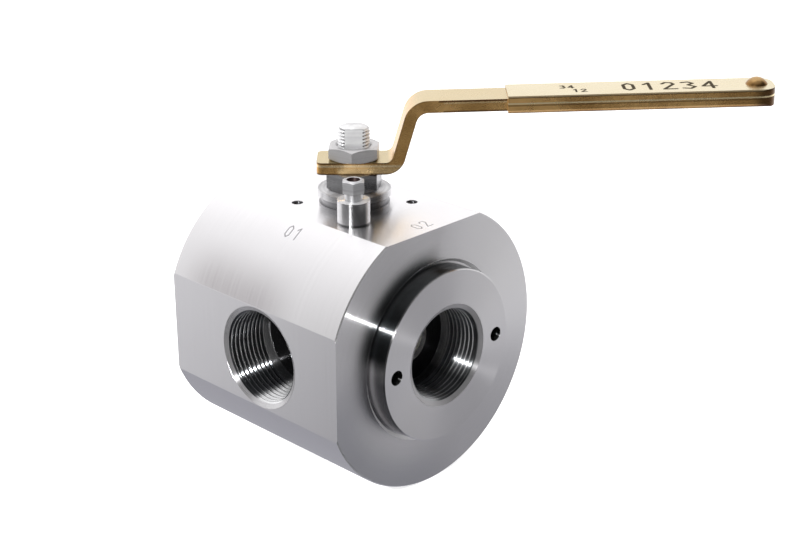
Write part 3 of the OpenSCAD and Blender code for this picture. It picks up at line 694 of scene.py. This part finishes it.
# dark colours: painted shade down the pad's threaded holes
holeShadeSteel = dict(turnedSteel, dark=(0.10, 0.10, 0.11, 1), light=(0.30, 0.30, 0.31, 1), roughness=(0.2, 0.3),
                 anisotropy=0.9, endDull=0.0)
coverSteel = dict(turnedSteel, dark=(0.60, 0.60, 0.61, 1), light=(0.76, 0.76, 0.77, 1),
                  roughness=(0.24, 0.34), bump=0.02, endDull=0.0)
# the wear ring's dark colours are painted shade under the cover disc
ringShadeSteel = {
    "dark": (0.24, 0.24, 0.25, 1), "light": (0.40, 0.40, 0.41, 1), "cloudColour": (0.20, 0.20, 0.20, 1),
    "clouds": 0.4, "cloudScale": 120.0, "linesPerMetre": 6000.0, "roughness": (0.24, 0.34),
    "cloudRoughness": 0.08, "specks": 0.2, "bump": 0.04, "anisotropy": 0.4, "metallic": 1.0,
    "hoopGrain": False,
}
ballSteel = {
    "dark": (0.66, 0.66, 0.67, 1), "light": (0.74, 0.74, 0.75, 1), "cloudColour": (0.6, 0.6, 0.61, 1),
    "clouds": 0.2, "cloudScale": 60.0, "linesPerMetre": 9000.0, "roughness": (0.07, 0.11),
    "cloudRoughness": 0.03, "specks": 0.05, "bump": 0.01, "anisotropy": 0.2, "metallic": 1.0,
    "hoopGrain": False,
}
leverPlating = {
    # pale and gripPale are painted light on the faces turned up
    "deep": (0.59, 0.34, 0.115, 1), "light": (0.90, 0.56, 0.22, 1), "pale": (0.52, 0.426, 0.228, 1),
    "gripPale": (0.66, 0.58, 0.38, 1), "gripStart": 65.0, "gripTop": 6.3, "paleShare": 0.9,
    "cloudScale": 60.0, "roughness": (0.22, 0.30), "bump": 0.008, "metallic": 0.88,
    "slope": 1.35, "armHeight": 42.02,
    "endFrom": 166.0, "endTo": 174.0, "endShade": 0.92, "shade": (0.06, 0.025, 0.008, 1),
    # each line, painted shade where dark and painted highlight where bright: from and to along the lever, its
    # level, half width, share and colour
    "footShadeAndHighlightLines": [  # levels over the pad
        ((-30.0, 24.0), 15.6, 0.7, 0.85, (0.10, 0.05, 0.02, 1)),
        ((-30.0, 16.0), 20.6, 0.7, 0.75, (0.10, 0.05, 0.02, 1)),
        ((-8.0, 22.0), 17.2, 1.7, 0.4, (1.0, 0.84, 0.50, 1)),
        ((-30.0, 24.0), 19.3, 0.7, 0.6, (1.0, 0.86, 0.58, 1)),
    ],
    "lines": [  # levels over the arm's underside
        ((65.0, 200.0), 3.3, 0.45, 0.95, (1.0, 0.84, 0.52, 1)),
        ((65.0, 200.0), 2.5, 0.4, 0.6, (0.12, 0.06, 0.02, 1)),
        ((65.0, 200.0), 6.1, 0.6, 0.9, (0.07, 0.035, 0.012, 1)),
        ((65.0, 200.0), -1.0, 0.5, 0.7, (0.14, 0.05, 0.02, 1)),
        ((38.0, 65.0), 0.2, 0.7, 0.75, (0.14, 0.05, 0.02, 1)),
        ((38.0, 65.0), 4.1, 0.4, 0.5, (1.0, 0.84, 0.52, 1)),
        ((36.0, 65.0), 4.85, 0.5, 0.8, (0.12, 0.035, 0.015, 1)),
    ],
}
# the rivet's darker browns are a painted dark reflection of the room in its dome
rivetDarkReflectionPlating = dict(
    leverPlating, deep=(0.20, 0.10, 0.03, 1), light=(0.36, 0.20, 0.07, 1), gripPale=(0.60, 0.42, 0.20, 1),
    paleShare=0.5, roughness=(0.16, 0.24), lines=[], footShadeAndHighlightLines=[], endShade=0.0)
seatPlastic = {"dark": (0.74, 0.72, 0.66, 1), "light": (0.86, 0.84, 0.78, 1), "roughness": (0.45, 0.6)}
sealRubber = {"dark": (0.012, 0.012, 0.012, 1), "light": (0.03, 0.03, 0.03, 1), "roughness": (0.5, 0.7)}

leverNumbers = {
    "size": 10.0, "width": 1.5, "darkness": 0.9, "colour": (0.03, 0.017, 0.007, 1), "barRadius": 0.0,
    "numbers": [
        {"text": "01234", "where": "lever", "turn": 45.0, "at": (114.0, -4.6)},
        {"text": "34", "where": "lever", "turn": 45.0, "at": (88.0, 0.8), "size": 4.0, "width": 0.9},
        {"text": "12", "where": "lever", "turn": 45.0, "at": (93.0, -5.2), "size": 4.0, "width": 0.9},
    ],
}
portNumbers = {
    "size": 6.0, "width": 0.6, "darkness": 0.8, "depth": 3.0, "colour": (0.20, 0.20, 0.21, 1),
    "barRadius": 62.5,
    "numbers": [
        {"text": "01", "where": "bar", "side": -1, "at": (-4.6, -41.4)},
        {"text": "02", "where": "pad", "turn": 90.0, "at": (-5.0, -43.5)},
        {"text": "03", "where": "bar", "side": 1, "at": (-4.6, -41.4)},
        {"text": "04", "where": "back", "at": (-4.6, 43.0)},
    ],
}

ballCentre = (0, 0, portCentre)
stopReach = 25 / math.sqrt(2)
frontStop, rearStop = (stopReach, -stopReach, 0), (-stopReach, stopReach, 0)
threadMetal = machinedMetal("portThread", threadSteel, ballCentre, (1, 0, 0))
crossThreadMetal = machinedMetal("crossPortThread", crossThreadSteel, ballCentre, (0, 1, 0))
stemMetal = machinedMetal("turnedStem", stemSteel)
holeShadeMetal = machinedMetal("padHole", holeShadeSteel)
leverMetal = coatedMetal("yellowPassivated", leverPlating)
seatMaterial = plainMaterial("seatPlastic", seatPlastic)
sealMaterial = plainMaterial("sealRubber", sealRubber)
nodeMaterials = {
    "body": machinedMetal("turnedBar", bodySteel, ballCentre, (1, 0, 0), portNumbers),
    "end_connector": machinedMetal("turnedConnector", connectorSteel, ballCentre, (1, 0, 0)),
    "ball": machinedMetal("polishedBall", ballSteel, ballCentre),
    "stem": stemMetal,
    "wear_ring": machinedMetal("shadedWearRing", ringShadeSteel),
    "cover_disc": machinedMetal("turnedCover", coverSteel),
    "lower_nut": machinedMetal("shadedLowerNut", lowerNutShadeSteel),
    "lever_nut": machinedMetal("platedNut", upperNutSteel),
    "lever": leverMetal,
    "grip": leverMetal,
    "grip_rivet": coatedMetal("rivetDarkReflection", rivetDarkReflectionPlating),
    "stop_sleeve_front": machinedMetal("turnedFrontStop", sleeveSteel, frontStop),
    "stop_sleeve_rear": machinedMetal("turnedRearStop", sleeveSteel, rearStop),
    "stop_screw_front": machinedMetal("frontScrew", screwSteel, frontStop),
    "stop_screw_rear": machinedMetal("rearScrew", screwSteel, rearStop),
}
for nodeName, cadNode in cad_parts.items():
    chosen = nodeMaterials.get(nodeName) or (sealMaterial if "_seal" in nodeName else seatMaterial)
    cadNode.data.materials.clear()
    cadNode.data.materials.append(chosen)
print("four-way ball valve: materials ready")


def gridPiece(name, points, material, body, closeEnds=False, block=None):
    # A surface from rows of points that each run once round an axis: neighbouring rows are joined by quads,
    # and closed ends get one middle point with a fan of triangles. A block adds eight corners and flat faces.
    rows, around = points.shape[:2]
    count = rows * around
    row, column = np.meshgrid(np.arange(rows - 1), np.arange(around), indexing="ij")
    beside = (column + 1) % around
    quads = np.stack([row * around + column, row * around + beside, (row + 1) * around + beside,
                      (row + 1) * around + column], axis=-1)
    corners, faces = [points.reshape(-1, 3)], quads.reshape(-1, 4).tolist()
    if closeEnds:
        corners.append([points[0].mean(axis=0), points[-1].mean(axis=0)])
        first, last = np.arange(around), count - around
        following = (first + 1) % around
        faces += np.stack([following, first, np.full(around, count)], axis=-1).tolist()
        faces += np.stack([last + first, last + following, np.full(around, count + 1)], axis=-1).tolist()
        count += 2
    smooth = len(faces)
    if block is not None:
        corners.append(block)
        sides = [(0, 2, 3, 1), (4, 5, 7, 6), (0, 1, 5, 4), (2, 6, 7, 3), (0, 4, 6, 2), (1, 3, 7, 5)]
        faces += (np.array(sides) + count).tolist()
    mesh = bpy.data.meshes.new(name)
    mesh.from_pydata((np.vstack(corners) * mm).tolist(), [], faces)
    mesh.polygons.foreach_set("use_smooth", np.arange(len(faces)) < smooth)
    mesh.materials.append(material)
    piece = bpy.data.objects.new(name, mesh)
    bpy.context.scene.collection.objects.link(piece)
    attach(piece, body)
    return piece


def fullTurn(count):  # equal angles once round, in radians
    return np.linspace(0, 2 * np.pi, count, endpoint=False)


def smoothStep(share):  # three times the square less twice the cube, level at 0 and at 1
    return share * share * (3 - 2 * share)


def threadShape(height, turn, pitch):  # 0 in the groove to 1 on the crest, along a right-handed helix
    phase = np.mod(height / pitch - turn / (2 * np.pi), 1)
    return smoothStep(np.clip((1 - np.abs(2 * phase - 1)) * 1.3 - 0.15, 0, 1))


def turnAbout(degrees):  # matrix that turns rows of points about the vertical axis, as points @ matrix
    c, s = math.cos(math.radians(degrees)), math.sin(math.radians(degrees))
    return np.array([[c, s, 0], [-s, c, 0], [0, 0, 1]])


portThread = {
    "minorRadius": 20.0, "depth": 0.85, "pitch": 2.309, "mouthRadius": 22.86, "mouthSlope": 1.7,
    "boreRadius": 10.0, "floor": 34.03, "smoothBore": 3.2, "runOut": 2.2, "around": 168, "rowsPerTurn": 14,
    "floorRows": 12,
}


def makePort(name, reach, degrees, values, material):
    # Radius at a depth and turn: the larger of the thread's own radius and a cone from the mouth, R - k d,
    # then a flat floor in to the passage. The groove fades out before a smooth bore at the inner radius.
    turn = fullTurn(values["around"])
    level = 0 * turn[None, :]
    floor = values["floor"]
    rows = int((reach - floor) / values["pitch"] * values["rowsPerTurn"])
    height = np.linspace(reach, floor, rows)[:, None]
    fade = smoothStep(np.clip((height - floor - values["smoothBore"]) / values["runOut"], 0, 1))
    groove = (1 - threadShape(height, turn[None, :], values["pitch"])) * fade
    cone = values["mouthRadius"] - values["mouthSlope"] * (reach - height) + level
    inward = np.linspace(values["minorRadius"], values["boreRadius"], values["floorRows"])[:, None] + level
    radius = np.vstack([np.maximum(values["minorRadius"] + values["depth"] * groove, cone), inward])
    height = np.vstack([height + level, floor + 0 * inward])
    local = np.stack([height, radius * np.sin(turn), -radius * np.cos(turn)], axis=-1)
    piece = gridPiece(name, local @ turnAbout(degrees) + np.array(ballCentre), material, "housing")


makePort("endPortThread", 56.0, 0, portThread, threadMetal)
makePort("backPortThread", 56.0, 180, portThread, threadMetal)
makePort("leftPortThread", 58.0, -90, portThread, crossThreadMetal)
makePort("rightPortThread", 58.0, 90, portThread, crossThreadMetal)
print("four-way ball valve: port threads ready")

stemShape = {
    "plain": [  # radius and height of each corner
        (11, -25), (11, -21), (8, -21), (8, -15.7), (6, -15.7), (6, -13.3), (8, -13.3), (8, -10.2),
        (6, -10.2), (6, -7.8), (8, -7.8), (8, 7.1), (7, 7.1), (7, 15.5)],
    "flatFrom": 15.5, "threadFrom": 17.0, "top": 34.5, "endChamfer": 1.0, "radius": 7.0, "depth": 0.92,
    "pitch": 1.5, "acrossFlats": 9.5, "flatsTowards": -45.0, "around": 240, "rowsPerTurn": 12,
    "tongueSize": (17, 8, 8.5), "tongueLow": -31.5, "tongueTurn": 45.0,  # the tongue drives the ball
}


def makeStem(values, material):
    # Turned rows first, then r = crest - depth * groove along the thread, cut by two flats: r <= half / |cos|
    # of the angle from the flats' normal. The tongue is a closed box, its top inside the flange.
    turn = fullTurn(values["around"])
    level = 0 * turn[None, :]
    plain = np.array(values["plain"], float)
    rows = int((values["top"] - values["flatFrom"]) / values["pitch"] * values["rowsPerTurn"])
    high = np.linspace(values["flatFrom"], values["top"], rows)[:, None]
    groove = (1 - threadShape(high, turn[None, :], values["pitch"])) * values["depth"]
    groove = groove * np.clip((high - values["threadFrom"]) / values["pitch"], 0, 1)
    cone = values["radius"] - values["endChamfer"] + values["top"] - high + level
    aside = np.abs(np.cos(turn - math.radians(values["flatsTowards"])))
    toFlat = values["acrossFlats"] / 2 / np.maximum(aside, 0.01)
    threaded = np.minimum(np.minimum(values["radius"] - groove, cone), toFlat[None, :])
    radius = np.vstack([plain[:, :1] + level, threaded])
    height = np.vstack([plain[:, 1:] + level, high + level])
    points = np.stack([radius * np.cos(turn), radius * np.sin(turn), height], axis=-1)
    tongue = np.array([(x, y, z) for z in (0, 1) for y in (-0.5, 0.5) for x in (-0.5, 0.5)])
    tongue = tongue * values["tongueSize"] @ turnAbout(values["tongueTurn"]) + [0, 0, values["tongueLow"]]
    piece = gridPiece("threadedStem", points, material, "spindle", closeEnds=True, block=tongue)
    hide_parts("stem")


makeStem(stemShape, stemMetal)

holeThread = {"crest": 2.08, "root": 2.44, "pitch": 1.0, "low": -9.0, "high": -0.25, "around": 48,
              "rowsPerTurn": 10}


def makeHoleThread(name, x, y, values, material):
    # Down a blind hole, r = root - (root - crest) * thread profile
    turn = -fullTurn(values["around"])
    rows = int((values["high"] - values["low"]) / values["pitch"] * values["rowsPerTurn"])
    height = np.linspace(values["low"], values["high"], rows)[:, None]
    profile = threadShape(height, turn[None, :], values["pitch"])
    radius = values["root"] - (values["root"] - values["crest"]) * profile
    points = np.stack([x + radius * np.cos(turn), y + radius * np.sin(turn), height + 0 * radius], axis=-1)
    piece = gridPiece(name, points, material, "housing")


makeHoleThread("padHoleThreadLeft", -stopReach, -stopReach, holeThread, holeShadeMetal)
makeHoleThread("padHoleThreadRight", stopReach, stopReach, holeThread, holeShadeMetal)
print("four-way ball valve: stem and pad hole threads ready")
